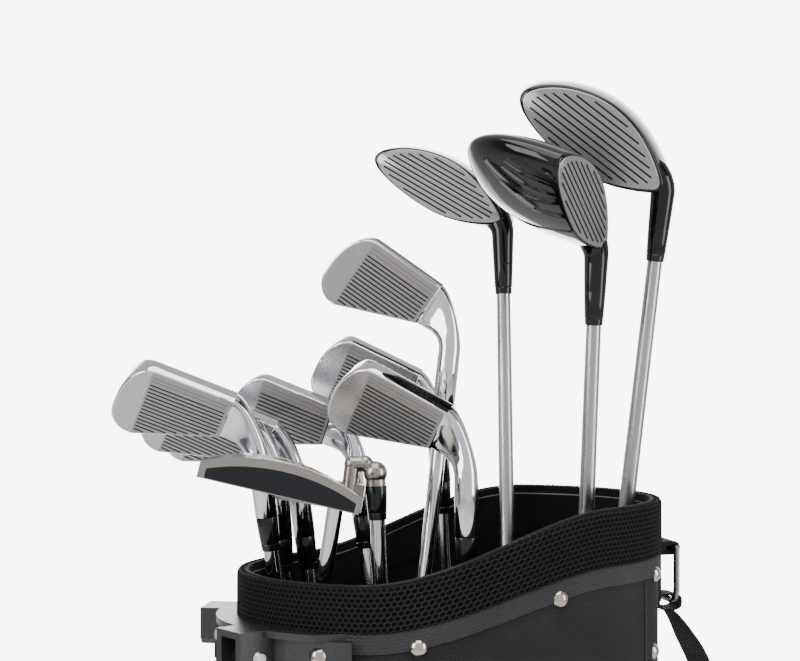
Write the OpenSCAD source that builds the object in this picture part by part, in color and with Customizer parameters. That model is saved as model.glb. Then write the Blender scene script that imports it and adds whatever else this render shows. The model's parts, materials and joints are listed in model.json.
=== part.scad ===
// Golf club set: a stand bag with a dozen clubs standing in it, heads up.
// Millimetres, +Z up. The origin is the middle of the base's underside.
// The stand is on the -X side, the shoulder strap on the +X side.

/* [Bag] */
// Half width of the collar, stand side to strap side
bag_half_w = 134.5; // [134:0.5:138]
// Half depth of the collar
bag_half_d = 95; // [95:0.5:100]
// Height of the rim on the stand side
rim_low = 826; // [815:1:835]
// How much higher the rim is on the strap side
rim_rise = 40; // [20:1:50]
// Height of the mesh collar on the stand side
collar_h = 27; // [22:1:34]
// Height of the floor that the grips stand on
floor_z = 36; // [34:1:38]
// Height of the moulded base cup
base_h = 74; // [60:1:90]

/* [Stand] */
// Distance from the bag's axis to the leg pivots, along X
pivot_x = 137; // [134:1:142]
// Distance of each leg pivot from the middle plane
pivot_y = 41; // [38:1:46]
// Height of the leg pivots
pivot_z = 783; // [778:1:786]
// Angle that each leg swings away from the middle plane
splay = 24; // [15:1:30]
// Length of a leg from its pivot to the end of its tube
leg_l = 640; // [600:10:660]
// Diameter of a leg tube
leg_d = 13; // [12:0.5:14]

/* [Clubs] */
// Diameter of a grip at its cap
grip_d = 25; // [24:0.5:25]
// Length of a grip
grip_l = 265; // [250:5:275]
// Shaft diameter at the head
tip_d = 9.4; // [9:0.1:9.6]
// Shaft diameter at the butt
butt_d = 14.6; // [14:0.1:15]
// Hosel diameter of an iron
hosel_d = 14; // [13.4:0.1:14.4]
// Length of an iron's hosel
hosel_l = 70; // [64:1:74]
// Length of a ferrule
ferrule_l = 21; // [18:1:24]

/* [Hidden] */
gap = 0.3;
fit = 0.03;
oval_n = 96;
round_n = 48;
shell_wall = 2.2;
frame_wall = 1.8;
lining = 0.8;
tape_h = 12;
tape_t = 1;
collar_out = [bag_half_w, bag_half_d];
shell_out = collar_out - [1.2, 1.2];
frame_out = shell_out - [shell_wall, shell_wall];
frame_in = frame_out - [frame_wall, frame_wall];
mouth_in = frame_in - [lining, lining];
cup_out = collar_out + [1, 1];
tall = 900;

// Each club: name, kind, foot [x, y] on the floor, a point its shaft aims at, turn, loft, length to the heel
club_list = [
  ["driver", "wood", [40, 59], [140, -32, 1150], -21, 12, 1062],
  ["wood_3", "wood", [34, -42], [64, 94, 1099], -20, 15, 1044],
  ["wood_5", "wood", [68, 29], [86, -33, 1082], 50, 18, 1016],
  ["iron_3", "iron", [-111, -17], [8, 10, 1023], -15, 22, 966],
  ["iron_7", "iron", [44, 18], [9, 77, 973], -17, 27, 906],
  ["iron_8", "iron", [4, 75], [-133, -16, 949], -12, 28, 907],
  ["iron_9", "iron", [3, -22], [-96, 57, 941], -16, 28, 881],
  ["pitching_wedge", "iron", [-6, -74], [-15, -74, 956], -24, 30, 886],
  ["iron_6", "iron", [21, -67], [-51, 66, 926], -19, 26, 896],
  ["sand_wedge", "iron", [-32, 72], [-110, 33, 932], -13, 30, 878],
  ["blade_putter", "blade", [-26, -57], [-51, -4, 884], -16, 3, 850],
  ["mallet_putter", "mallet", [-65, -45], [-93, -42, 818], -8, 3, 783]
];
function name_of(c) = c[0];
function kind_of(c) = c[1];
function foot_of(c) = [c[2][0], c[2][1], floor_z];
function aim_of(c) = c[3];
function turn_of(c) = c[4];
function loft_of(c) = c[5];

function unit(v) = v / norm(v);
function reach(c) = c[6];
function along(c) = unit(aim_of(c) - foot_of(c));
// A leaning grip is lifted so that its low edge just clears the floor
function lift(c) = grip_d / 2 * norm([along(c)[0], along(c)[1]]) + gap;

// Smooth step from 0 to 1
function ease(t) = let (k = min(1, max(0, t))) k * k * (3 - 2 * k);
function rise_at(x) = ease((x + 80) / 155);
function rim_z(x) = rim_low + rim_rise * rise_at(x);
function collar_z(x) = rim_z(x) - collar_h - 7 * rise_at(x);

function oval(h, n = oval_n) = [for (i = [0:n - 1]) [h[0] * cos(360 * i / n), h[1] * sin(360 * i / n)]];
function oval_at(h, a) = [h[0] * cos(a), h[1] * sin(a)];

// ---------- helpers ----------

// Everything under the slanted line z(x) - drop, where z is the rim or the collar's lower edge
module under(at_rim, drop) {
  xs = [-160, -80, -70, -60, -50, -40, -30, -20, -10, 0, 10, 20, 30, 40, 50, 60, 70, 75, 160];
  line = [for (x = xs) [x, (at_rim ? rim_z(x) : collar_z(x)) - drop]];
  rotate([90, 0, 0])
    linear_extrude(400, center = true)
      polygon(concat(line, [[160, -50], [-160, -50]]));
}

module oval_ring(outer, inner, z0, z1) {
  translate([0, 0, z0])
    linear_extrude(z1 - z0)
      difference() {
        polygon(oval(outer));
        polygon(oval(inner));
      }
}

// A round rod from point a to point b
module rod(a, b, r1, r2) {
  d = unit(b - a);
  side = abs(d[2]) > 0.9 ? [1, 0, 0] : [0, 0, 1];
  u = unit(cross(side, d));
  v = cross(d, u);
  multmatrix([[u[0], v[0], d[0], a[0]], [u[1], v[1], d[1], a[1]], [u[2], v[2], d[2], a[2]], [0, 0, 0, 1]])
    cylinder(r1 = r1, r2 = r2, h = norm(b - a), $fn = round_n);
}

module ball(p, r) {
  translate(p)
    sphere(r, $fn = round_n);
}

// Puts children at a point of the bag's side, with their +X pointing straight out
module on_side(h, a, z) {
  translate([h[0] * cos(a), h[1] * sin(a), z])
    rotate([0, 0, atan2(sin(a) / h[1], cos(a) / h[0])])
      children();
}

// ---------- bag ----------

module bag_shell() {
  color("dimgray")
    intersection() {
      oval_ring(shell_out, frame_out, floor_z + 2, tall);
      under(false, 0);
    }
}

module top_frame() {
  color("black")
    difference() {
      intersection() {
        oval_ring(frame_out, frame_in, 600, tall);
        under(true, 4);
      }
      under(false, 24);
    }
}

module collar() {
  color([0.1, 0.1, 0.1])
    difference() {
      intersection() {
        oval_ring(collar_out, mouth_in, 600, tall);
        under(true, 0);
      }
      under(false, 0);
      intersection() {
        oval_ring(frame_out, frame_in, 600, tall);
        under(true, 4);
      }
    }
}

module binding_tape() {
  color([0.25, 0.25, 0.26])
    difference() {
      intersection() {
        oval_ring(shell_out + [tape_t, tape_t], shell_out, 600, tall);
        under(false, 0);
      }
      under(false, tape_h);
    }
}

// The base's underside is cut up at a slope on the stand side, over the hinged foot
foot_hinge_x = -55;
foot_slope = 19;
foot_t = 4;
foot_pin_z = 6;

module slope_cut() {
  translate([foot_hinge_x, 0, foot_pin_z])
    rotate([0, foot_slope, 0])
      translate([-200, -150, -100])
        cube([200, 300, 100]);
}

module base_cup() {
  color([0.12, 0.12, 0.13])
    difference() {
      union() {
        difference() {
          union() {
            oval_ring(cup_out, shell_out, floor_z + 2, base_h);
            translate([0, 0, floor_z - 5])
              linear_extrude(5)
                polygon(oval(cup_out));
            oval_ring(cup_out, cup_out - [5, 5], 0, floor_z - 5);
            oval_ring(cup_out, frame_out, floor_z, floor_z + 2);
            translate([foot_hinge_x + 7, -70, 0])
              cube([120, 140, 4]);
            for (x = [-30, 20, 70])
              translate([x, -60, 0])
                cube([4, 120, floor_z - 5]);
          }
          slope_cut();
        }
        translate([foot_hinge_x - 5, -40, 0])
          cube([14, 80, floor_z - 5]);
      }
      translate([foot_hinge_x, 0, foot_pin_z])
        rotate([90, 0, 0])
          cylinder(r = 2, h = 140, center = true, $fn = round_n);
    }
}

module base_foot() {
  color([0.15, 0.15, 0.16])
    difference() {
      union() {
        translate([0, 0, 0.4])
          linear_extrude(foot_t)
            intersection() {
              polygon(oval(cup_out - [1, 1]));
              translate([-140, -60])
                square([140 + foot_hinge_x - 7, 120]);
            }
        translate([-152, -11, 0.4])
          cube([30, 22, foot_t]);
        for (y = [-60, 43])
          translate([foot_hinge_x, y, foot_pin_z])
            rotate([-90, 0, 0])
              cylinder(r = 4, h = 17, $fn = round_n);
        for (y = [-60, 43])
          translate([foot_hinge_x - 7, y, 0.4])
            cube([7, 17, foot_t]);
      }
      translate([foot_hinge_x, 0, foot_pin_z])
        rotate([90, 0, 0])
          cylinder(r = 2.05, h = 140, center = true, $fn = round_n);
    }
}

// ---------- stand ----------

housing_w = 25;
housing_z0 = 776;
housing_z1 = 799;
slot_w = 15;
pin_r = 2.5;

// side is +1 for the left leg and -1 for the right one
module at_pivot(side) {
  translate([-pivot_x, side * pivot_y, 0])
    rotate([0, 0, -side * splay])
      children();
}

// Local frame of at_pivot: -X is the way the leg swings, Y is the hinge axis
module housing() {
  difference() {
    translate([-13, -housing_w / 2, housing_z0])
      cube([46, housing_w, housing_z1 - housing_z0]);
    translate([-14, -slot_w / 2, housing_z0 - 1])
      cube([26, slot_w, housing_z1 - housing_z0 - 3]);
    translate([0, 0, pivot_z])
      rotate([90, 0, 0])
        cylinder(r = pin_r, h = 60, center = true, $fn = round_n);
    for (m = [0, 1])
      mirror([0, m, 0])
        translate([-14, housing_w / 2 - 4, housing_z0])
          rotate([45, 0, 0])
            translate([0, 0, -8])
              cube([60, 10, 8]);
  }
}

module leg_bracket() {
  ledge = [14, 8];
  band = [7, 6];
  color([0.14, 0.14, 0.15])
    difference() {
      union() {
        intersection() {
          oval_ring(collar_out + ledge, shell_out, housing_z1 - 4, housing_z1);
          translate([-200, -73, 0])
            cube([120, 146, tall]);
        }
        intersection() {
          oval_ring(collar_out + band, shell_out, housing_z0 - 2, housing_z1 - 4);
          translate([-200, -80.5, 0])
            cube([116, 161, tall]);
        }
        at_pivot(1)
          housing();
        at_pivot(-1)
          housing();
      }
      translate([0, 0, 600])
        linear_extrude(300)
          polygon(oval(shell_out + [tape_t, tape_t]));
    }
}

module hinge_pins() {
  color("silver") {
    for (side = [-1, 1])
      at_pivot(side)
        translate([0, 0, pivot_z])
          rotate([90, 0, 0]) {
            cylinder(r = pin_r - 0.05, h = housing_w + 3, center = true, $fn = round_n);
            translate([0, 0, housing_w / 2 + gap])
              cylinder(r1 = 4.5, r2 = 3.2, h = 1.8, $fn = round_n);
            translate([0, 0, -housing_w / 2 - gap - 1.8])
              cylinder(r1 = 3.2, r2 = 4.5, h = 1.8, $fn = round_n);
          }
    translate([foot_hinge_x, 0, foot_pin_z])
      rotate([90, 0, 0])
        cylinder(r = 1.98, h = 126, center = true, $fn = round_n);
  }
}

module leg(side) {
  color([0.08, 0.08, 0.08])
    at_pivot(side) {
      difference() {
        union() {
          translate([0, 0, pivot_z])
            rotate([90, 0, 0])
              cylinder(r = 6, h = slot_w - 1, center = true, $fn = round_n);
          translate([-5.5, -slot_w / 2 + 0.5, pivot_z - 16])
            cube([11, slot_w - 1, 16]);
        }
        translate([0, 0, pivot_z])
          rotate([90, 0, 0])
            cylinder(r = pin_r, h = 40, center = true, $fn = round_n);
      }
      translate([0, 0, pivot_z - leg_l])
        cylinder(d = leg_d, h = leg_l - 16, $fn = round_n);
    }
}

shoe_h = 42;

module shoe(side) {
  color("black")
    at_pivot(side)
      translate([0, 0, pivot_z - leg_l])
        difference() {
          union() {
            translate([0, 0, -8])
              cylinder(r1 = 13, r2 = 12, h = 10, $fn = round_n);
            translate([0, 0, 2])
              cylinder(r1 = 12, r2 = 8.6, h = shoe_h - 2, $fn = round_n);
          }
          cylinder(r = leg_d / 2 + fit, h = shoe_h + 10, $fn = round_n);
        }
}

// Runner and rod: slides up the bag's side when the foot is pressed
runner_x = -141;
strut_drop = 290;
strut_top_drop = 138;
strut_y = 13;
runner_z = pivot_z - strut_drop;
tip_ball = 3.5;

// The struts turn about axes that are parallel to their legs' axes
function strut_axis(side) = [sin(splay), side * cos(splay), 0];

module stand_runner() {
  color([0.1, 0.1, 0.1])
    difference() {
      union() {
        translate([runner_x - 7, -9, runner_z - 16])
          cube([10, 18, 32]);
        rod([runner_x, 0, foot_t + tip_ball + 1.2], [runner_x, 0, runner_z - 14], 3, 3);
        ball([runner_x, 0, foot_t + tip_ball + 1.2], tip_ball);
      }
      for (side = [-1, 1]) {
        pin = [runner_x, side * strut_y, runner_z];
        rod(pin, pin - 9 * strut_axis(side), 2, 2);
      }
    }
}

// A strut lies beside its leg; its upper end is the linkage's open pivot
module strut(side) {
  low = [runner_x, side * strut_y, runner_z];
  high = [-pivot_x, side * (pivot_y - leg_d / 2 - 5.5), pivot_z - strut_top_drop];
  color("silver") {
    rod(low, high, 2.5, 2.5);
    ball(low, 3.2);
    ball(high, 3.4);
    rod(low, low - 8 * strut_axis(side), 1.9, 1.9);
  }
}

// ---------- trim ----------

rivet_angles = [-110.5, -73.5, -28.5, 28.5, 73.5, 110.5];

module rivet_head() {
  intersection() {
    translate([-3, 0, 0])
      sphere(r = 6, $fn = round_n);
    translate([0, -8, -8])
      cube([10, 16, 16]);
  }
}

module rivets() {
  on_tape = shell_out + [tape_t, tape_t];
  color("silver") {
    for (a = rivet_angles)
      on_side(on_tape, a, collar_z(on_tape[0] * cos(a)) - tape_h + 1)
        rivet_head();
    for (a = [-28.5, 28.5])
      on_side(shell_out, a, 773)
        rivet_head();
    for (a = [-136, 136])
      on_side(collar_out + [7, 6], a, pivot_z + 3)
        rivet_head();
  }
}

seam = 0.05;

// Cuts whatever is fixed to the bag's side back to its surface
module bag_body() {
  polygon(oval(shell_out + [seam, seam]));
}

module collar_body() {
  polygon(oval(collar_out + [seam, seam]));
}

handle_z = 610;
handle_w = 26;

module carry_handle() {
  x0 = shell_out[0] - 3;
  color([0.1, 0.1, 0.1])
    difference() {
      translate([x0, 0, handle_z])
        rotate([90, 0, 0])
          linear_extrude(handle_w, center = true)
            difference() {
              polygon([[0, -78], [12, -76], [39, -48], [43, -30], [43, 30], [39, 48], [12, 76], [0, 78]]);
              polygon([[0, -62], [8, -58], [30, -36], [33, -24], [33, 24], [30, 36], [8, 58], [0, 62]]);
            }
      translate([0, 0, handle_z - 100])
        linear_extrude(200)
          bag_body();
    }
}

ring_x = 145;
ring_z = 832;
ring_r = 2;
ring_w = 34;
ring_h = 34;
bend_r = 9;

// The ring hangs from its upper bar, which lies in the webbing loop; the strap hangs from its lower bar
module strap_ring() {
  half = ring_w / 2;
  low = bend_r - ring_h;
  color("silver")
    translate([ring_x, 0, ring_z]) {
      rod([0, -half, 0], [0, half, 0], ring_r, ring_r);
      rod([0, bend_r - half, -ring_h], [0, half - bend_r, -ring_h], ring_r, ring_r);
      for (side = [-1, 1]) {
        ball([0, side * half, 0], ring_r);
        rod([0, side * half, 0], [0, side * half, low], ring_r, ring_r);
        translate([0, side * (half - bend_r), low])
          multmatrix([[0, 0, 1, 0], [side, 0, 0, 0], [0, -1, 0, 0], [0, 0, 0, 1]])
            rotate_extrude(angle = 90, $fn = round_n)
              translate([bend_r, 0])
                circle(r = ring_r, $fn = 24);
      }
    }
}

loop_w = 26;
anchor_z = 300;

// Webbing loop round the ring's upper bar, and the lower anchor of the strap
module strap_loops() {
  x0 = shell_out[0] - 4;
  color([0.1, 0.1, 0.1])
    difference() {
      union() {
        translate([0, 0, ring_z])
          rotate([90, 0, 0])
            linear_extrude(loop_w, center = true)
              difference() {
                union() {
                  translate([ring_x, 0])
                    circle(r = 4.4, $fn = round_n);
                  translate([x0, -4.4])
                    square([ring_x - x0, 8.8]);
                  translate([x0, -34])
                    square([7, 38.4]);
                }
                translate([ring_x, 0])
                  circle(r = 2.4, $fn = round_n);
                translate([ring_x - 5, -1.6])
                  square([5, 3.2]);
              }
        translate([x0, -loop_w / 2, anchor_z])
          cube([8, loop_w, 27]);
      }
      translate([0, 0, 780])
        linear_extrude(100)
          collar_body();
      translate([0, 0, 200])
        linear_extrude(200)
          bag_body();
    }
}

strap_w = 38;
strap_t = 2.6;
strap_top = ring_z - ring_h - 6;
strap_low = 330;
strap_bulge = 60;

// The strap's middle line: x at height z
function strap_part(z) = (strap_top - z) / (strap_top - strap_low);
function strap_x(z) = ring_x + strap_bulge * sin(180 * pow(strap_part(z), 0.8)) - 8 * strap_part(z);

// The strap's upper end is an open loop that the ring's lower bar swings in
module shoulder_strap() {
  steps = 24;
  zs = [for (i = [0:steps]) strap_top + (strap_low - strap_top) * i / steps];
  outer = [for (z = zs) [strap_x(z) + strap_t / 2, z]];
  inner = [for (i = [steps:-1:0]) [strap_x(zs[i]) - strap_t / 2, zs[i]]];
  pad_zs = [for (i = [7:17]) zs[i]];
  pad_outer = [for (z = pad_zs) [strap_x(z) + 1.2, z]];
  pad_inner = [for (i = [10:-1:0]) [strap_x(pad_zs[i]) - 9, pad_zs[i]]];
  bar_z = ring_z - ring_h;
  color([0.08, 0.08, 0.08])
    rotate([90, 0, 0]) {
      linear_extrude(strap_w, center = true)
        polygon(concat(outer, inner));
      linear_extrude(58, center = true)
        polygon(concat(pad_outer, pad_inner));
      linear_extrude(15, center = true)
        difference() {
          translate([ring_x - 7.6, strap_top - 1])
            square([15.2, bar_z + 4.8 - strap_top + 1]);
          translate([ring_x - 5.8, bar_z - 3])
            square([11.6, 5.6]);
        }
    }
}

// A pocket is a pouch whose back follows the bag's side
module pocket(a0, a1, depth, z0, z1) {
  n = 16;
  angles = [for (i = [0:n]) a0 + (a1 - a0) * i / n];
  back = [for (a = angles) oval_at(shell_out + [gap, gap], a)];
  front = [for (i = [n:-1:0]) let (d = 4 + (depth - 4) * pow(sin(180 * i / n), 0.45))
    oval_at(shell_out + [d, d], angles[i])];
  translate([0, 0, z0])
    linear_extrude(z1 - z0)
      polygon(concat(back, front));
}

module apparel_pocket() {
  color([0.2, 0.2, 0.21])
    pocket(48, 128, 42, 130, 640);
}

module ball_pocket() {
  color([0.2, 0.2, 0.21])
    pocket(-128, -50, 48, 110, 330);
}

module accessory_pocket() {
  color([0.2, 0.2, 0.21])
    pocket(-124, -56, 34, 390, 640);
}

module zip_pulls() {
  color("silver") {
    for (p = [[-89, 48, 338], [-90, 34, 648], [88, 42, 648]])
      on_side(shell_out, p[0], p[2])
        translate([p[1] * 0.45, 0, 0])
          rotate([0, 90, 0]) {
            translate([-3, -4, 0])
              cube([6, 8, 3]);
            translate([0, 0, 1])
              linear_extrude(2)
                difference() {
                  translate([-4, -16])
                    square([8, 13]);
                  translate([-2, -14])
                    square([4, 6]);
                }
          }
  }
}

// ---------- clubs ----------

// Puts children in a club's own frame: Z runs up its shaft from the floor, -X is the toe's side
module place(c) {
  d = along(c);
  a = unit(cross([0, 1, 0], d));
  b = cross(d, a);
  f = foot_of(c);
  multmatrix([[a[0], b[0], d[0], f[0]], [a[1], b[1], d[1], f[1]], [a[2], b[2], d[2], f[2]], [0, 0, 0, 1]])
    rotate([0, 0, turn_of(c)])
      children();
}

// Face frame: X to the toe, Y to the sole, Z back from the face
module face_frame(lie, loft) {
  a = 90 - lie;
  s = [cos(loft) * sin(a), -sin(loft), cos(loft) * cos(a)];
  w = [sin(loft) * sin(a), cos(loft), sin(loft) * cos(a)];
  multmatrix([[-cos(a), s[0], w[0], 0], [0, s[1], w[1], 0], [sin(a), s[2], w[2], 0], [0, 0, 0, 1]])
    children();
}

function bent(c) = kind_of(c) == "mallet";
function neck_l(c) = kind_of(c) == "blade" ? 8 : kind_of(c) == "wood" ? 54 : hosel_l;
function seat_l(c) = kind_of(c) == "blade" ? 0 : 26;
function ferrule_z(c) = reach(c) - neck_l(c) - ferrule_l;
function straight_z(c) = bent(c) ? reach(c) : ferrule_z(c);
function shaft_r(c, z) = butt_d / 2 + (tip_d - butt_d) / 2 * (z - lift(c)) / (straight_z(c) - lift(c));

module club_grip(c) {
  z0 = lift(c);
  z1 = z0 + grip_l;
  r = grip_d / 2;
  bore_z = z0 + 8;
  color([0.07, 0.07, 0.07])
    place(c)
      rotate_extrude($fn = round_n)
        polygon([[0, z0], [r - 1, z0], [r, z0 + 1.2], [r, z0 + 4.5], [r - 0.8, z0 + 6.5],
          [8.9, z1 - 4], [8.3, z1], [shaft_r(c, z1) + fit, z1], [shaft_r(c, bore_z) + fit, bore_z], [0, bore_z]]);
}

module club_shaft(c) {
  z0 = lift(c) + 8;
  zf = straight_z(c);
  top = bent(c) ? zf : zf + ferrule_l + seat_l(c);
  tip = tip_d / 2;
  color("silver")
    place(c)
      rotate_extrude($fn = round_n)
        polygon([[0, z0], [shaft_r(c, z0), z0], [tip, zf], [tip, top], [0, top]]);
  if (bent(c))
    color("silver")
      place(c)
        translate([0, 0, zf]) {
          ball([0, 0, 0], tip);
          rod([0, 0, 0], bent_tip, tip, tip);
        }
  else
    color("black")
      place(c)
        rotate_extrude($fn = round_n)
          polygon([[tip + 0.02, zf], [tip + 0.7, zf], [6.8, zf + ferrule_l - 0.05],
            [tip + 0.02, zf + ferrule_l - 0.05]]);
}

// The blade of an iron: its outline from the heel round the toe, toe along X, sole at Y 0
function arc(cx, cy, rx, ry, a0, a1, n) =
  [for (i = [0:n]) let (a = a0 + (a1 - a0) * i / n) [cx + rx * cos(a), cy + ry * sin(a)]];
iron_outline = concat(
  [[-5, -9], [0, -2.5], [7, 0]],
  arc(59, -30, 18, 30, 90, 0, 8),
  arc(63, -36, 14, 15, 0, -100, 6),
  [[0, -24.5], [-5, -22]]);
iron_section = [[-58, 0], [3, 0], [1, 5], [-1, 12], [-5, 15], [-11, 13], [-18, 7], [-30, 5], [-58, 4.5]];

module iron_blade() {
  intersection() {
    linear_extrude(20)
      polygon(iron_outline);
    multmatrix([[0, 0, 1, 0], [1, 0, 0, 0], [0, 1, 0, 0], [0, 0, 0, 1]])
      translate([0, 0, -10])
        linear_extrude(100)
          polygon(iron_section);
  }
}

module iron_head(c) {
  z_top = reach(c);
  color([0.75, 0.75, 0.77])
    place(c)
      difference() {
        union() {
          translate([0, 0, z_top])
            face_frame(61, loft_of(c))
              translate([0, 0, -6])
                iron_blade();
          translate([0, 0, z_top - hosel_l])
            cylinder(d = hosel_d, h = hosel_l - 9, $fn = round_n);
          translate([0, 0, z_top - 9])
            sphere(d = hosel_d, $fn = round_n);
        }
        translate([0, 0, z_top - hosel_l - 1])
          cylinder(d = tip_d, h = seat_l(c) + 1, $fn = round_n);
      }
}

// Face of a wood: a rounded shape, taller towards the toe
function wood_face(l, h) = [for (i = [0:35]) let (u = cos(10 * i), v = sin(10 * i))
  [l * (0.36 + 0.5 * u), -h * (0.5 + 0.14 * max(0, u) * max(0, u)) + h * 0.5 * v * (1 - (u < 0 ? 0.45 : 0.15) * u * u)]];

module wood_head(c) {
  big = name_of(c) == "driver";
  face_l = big ? 108 : 101;
  face_h = big ? 47 : 38;
  depth = big ? 84 : 74;
  z_top = reach(c);
  color([0.05, 0.05, 0.05])
    place(c)
      difference() {
        union() {
          translate([0, 0, z_top])
            face_frame(58, loft_of(c))
              hull() {
                translate([0, 0, -13])
                  linear_extrude(3)
                    polygon(wood_face(face_l, face_h));
                translate([face_l * 0.44, -face_h * 0.56, depth * 0.36])
                  scale([face_l * 0.5, face_h * 0.52, depth * 0.5])
                    sphere(1, $fn = 32);
              }
          translate([0, 0, z_top - neck_l(c)])
            cylinder(r1 = 6.9, r2 = 8, h = neck_l(c) - 16, $fn = round_n);
        }
        translate([0, 0, z_top - neck_l(c) - 1])
          cylinder(d = tip_d, h = seat_l(c) + 1, $fn = round_n);
      }
}

// Bent end of the mallet putter's shaft, from the bend to the inside of the head
bent_tip = [8, -25, 58];
mallet_l = 94;
mallet_h = 19;
mallet_depth = 42;
mallet_corner = [20, -34, 48];
mallet_rise = 16;

function mallet_back(t) = 10 + (mallet_depth - 10) * pow(sin(180 * t / mallet_l), 0.8);

// The mallet is straight along its face and rounded behind; its cambered sole faces up
module mallet_head(c) {
  ts = [for (i = [0:16]) mallet_l * i / 16];
  plan = concat([[0, 0]], [for (t = ts) [-t, mallet_back(t)]], [[-mallet_l, 0]]);
  r_sole = 120;
  color([0.6, 0.57, 0.53])
    place(c)
      translate([0, 0, reach(c)])
        difference() {
          translate(mallet_corner)
            rotate([0, mallet_rise, 0])
              difference() {
                intersection() {
                  linear_extrude(mallet_h)
                    polygon(plan);
                  translate([-mallet_l / 2, -1, mallet_h - r_sole])
                    rotate([-90, 0, 0])
                      cylinder(r = r_sole, h = 80, $fn = 96);
                }
                for (x = [-30, -47])
                  translate([x, mallet_depth * 0.55, 6])
                    cylinder(r = 7, h = 30, $fn = round_n);
              }
          rod([0, 0, 0], bent_tip, tip_d / 2 + fit, tip_d / 2 + fit);
        }
}

// The blade putter hangs from a bent neck that starts with a round knuckle on its ferrule
module blade_head(c) {
  neck = [[0, 0, 0], [-6, 0, 6], [-14, 0, 6], [-17, 0, -12]];
  color([0.6, 0.58, 0.55])
    place(c)
      translate([0, 0, reach(c)]) {
        rod([0, 0, seam - neck_l(c)], [0, 0, 0], 6.2, 6.2);
        ball([0, 0, 0], 7.4);
        for (i = [0:2]) {
          rod(neck[i], neck[i + 1], 4.8, 4.8);
          ball(neck[i + 1], 5.1);
        }
        translate([-10, -4, -24])
          rotate([0, 12, 0]) {
            translate([-66, 0, 0])
              cube([66, 4.5, 17]);
            translate([-66, 4.5, 11])
              cube([66, 5, 6]);
          }
      }
}

module club_head(c) {
  if (kind_of(c) == "iron") iron_head(c);
  if (kind_of(c) == "wood") wood_head(c);
  if (kind_of(c) == "mallet") mallet_head(c);
  if (kind_of(c) == "blade") blade_head(c);
}

bag_shell();
collar();
top_frame();
binding_tape();
base_cup();
base_foot();
leg_bracket();
hinge_pins();
leg(1);  // left_leg
leg(-1);  // right_leg
shoe(1);  // left_shoe
shoe(-1);  // right_shoe
stand_runner();
strut(1);  // left_strut
strut(-1);  // right_strut
rivets();
carry_handle();
strap_ring();
strap_loops();
shoulder_strap();
apparel_pocket();
ball_pocket();
accessory_pocket();
zip_pulls();
for (c = club_list) {
  club_head(c);
  club_shaft(c);
  club_grip(c);
}
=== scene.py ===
"""Looks for the golf club set: a stand bag with twelve clubs, around its CAD frame."""
import json
import math

import bpy
import numpy as np
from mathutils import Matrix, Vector


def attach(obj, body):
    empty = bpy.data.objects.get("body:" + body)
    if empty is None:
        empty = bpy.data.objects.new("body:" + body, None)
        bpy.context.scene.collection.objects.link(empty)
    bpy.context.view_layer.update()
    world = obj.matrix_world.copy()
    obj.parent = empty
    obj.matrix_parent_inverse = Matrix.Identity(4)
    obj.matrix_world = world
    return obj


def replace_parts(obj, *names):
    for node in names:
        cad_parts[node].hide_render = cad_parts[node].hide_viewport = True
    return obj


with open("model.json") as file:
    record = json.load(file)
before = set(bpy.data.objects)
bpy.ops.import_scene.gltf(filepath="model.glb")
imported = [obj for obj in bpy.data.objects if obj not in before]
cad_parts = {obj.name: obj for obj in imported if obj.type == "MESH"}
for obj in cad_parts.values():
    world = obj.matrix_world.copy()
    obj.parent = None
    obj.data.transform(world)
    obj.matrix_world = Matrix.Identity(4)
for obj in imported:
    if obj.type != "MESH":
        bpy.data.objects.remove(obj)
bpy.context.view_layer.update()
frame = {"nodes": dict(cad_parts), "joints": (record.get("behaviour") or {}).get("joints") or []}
nodes = frame["nodes"]

# lengths are in millimetres up to add(), which turns them into metres
MM = 0.001
GRIP_L = 265.0
SHAFT_TOP_R = 7.25
TIP_R = 4.7
FERRULE_L = 21.0
HOSEL_L = 70.0
HOSEL_R = 7.0
WOOD_NECK = 54.0
BALL_NECK_R = 6.2
BALL_NECK_L = 8
IRON_LIE = 61
WOOD_LIE = 58
# the blade's heel end along its face, and the point its outlines are drawn in towards
IRON_HEEL = 10.0
IRON_MIDDLE = (38, -24)

# each club's kind, its turn about its own shaft and its loft, both in degrees
DECK = {
    "driver": ("wood", -21, 12), "wood_3": ("wood", -20, 15), "wood_5": ("wood", 50, 18),
    "iron_3": ("iron", -15, 22), "iron_7": ("iron", -17, 27), "iron_8": ("iron", -12, 28),
    "iron_9": ("iron", -16, 28), "pitching_wedge": ("iron", -24, 30), "iron_6": ("iron", -19, 26),
    "sand_wedge": ("iron", -13, 30), "blade_putter": ("blade", -16, 3), "mallet_putter": ("mallet", -8, 3),
}

# the bag: half its outer width and depth, its skin's, and the bands round its mouth
OUT = np.array([134.5, 95.0])
SHELL = OUT - 1.2
TAPE_H = 12.0
COLLAR_H = 27.0
COLLAR_THICK = 5.4
BASE_TOP = 40.0
RING_X = 145.0
STRAP_TOP = 792.0
STRAP_LOW = 330.0
STRAP_BULGE = 60.0

# the camera looks 15 degrees to the right of the bag's depth
VIEW_TURN = math.radians(15)
VIEW_COS = 0.9659
VIEW_SIN = 0.2588


# ---------- materials ----------
def new_mat(name, color, rough, metal=0.0):
    """A material, its node tree and its shader."""
    mat = bpy.data.materials.new(name)
    mat.use_nodes = True
    shader = mat.node_tree.nodes["Principled BSDF"]
    shader.inputs["Base Color"].default_value = (*color, 1)
    shader.inputs["Roughness"].default_value = rough
    shader.inputs["Metallic"].default_value = metal
    return mat, mat.node_tree, shader


def coords(tree, turn=0.0):
    """The piece's own coordinates, turned about its Y axis."""
    place = tree.nodes.new("ShaderNodeTexCoord")
    mapping = tree.nodes.new("ShaderNodeMapping")
    mapping.inputs["Rotation"].default_value = (0, turn, 0)
    tree.links.new(place.outputs["Object"], mapping.inputs["Vector"])
    return mapping.outputs["Vector"]


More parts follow.
